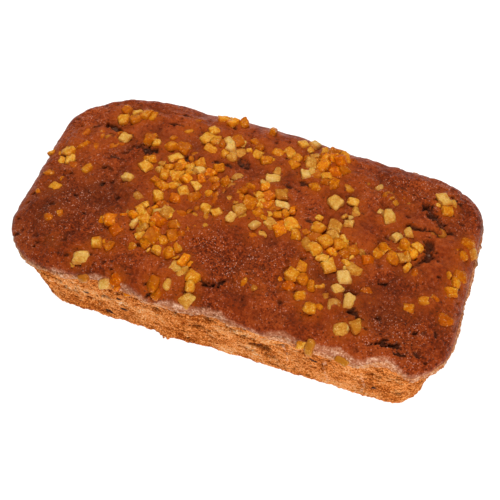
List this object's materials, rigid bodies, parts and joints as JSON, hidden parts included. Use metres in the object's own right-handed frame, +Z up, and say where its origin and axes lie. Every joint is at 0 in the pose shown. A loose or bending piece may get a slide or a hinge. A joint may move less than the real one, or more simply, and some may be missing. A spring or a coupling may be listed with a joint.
{
  "type": "fruit loaf cake",
  "caption": "Whole tin-baked fruit loaf cake with tapered sides, a low domed crust, diced candied peel set in the top and raisins in the crumb.",
  "frame": {"origin": "middle of the bounding box of the whole cake, on the flat base", "axes": "+X along the length, to the right in the picture; +Y along the width, away from the side that the picture shows; +Z up"},
  "size_m": [0.2209, 0.117, 0.07],
  "materials": {
    "crust": "baked crust, matt with a thin syrup glaze",
    "peel_yellow": "candied lemon peel, moist",
    "peel_orange": "candied orange peel, moist",
    "raisin": "wrinkled raisin skin"
  },
  "bodies": {
    "root": {"cake_loaf": "crust"}
  },
  "joints": []
}
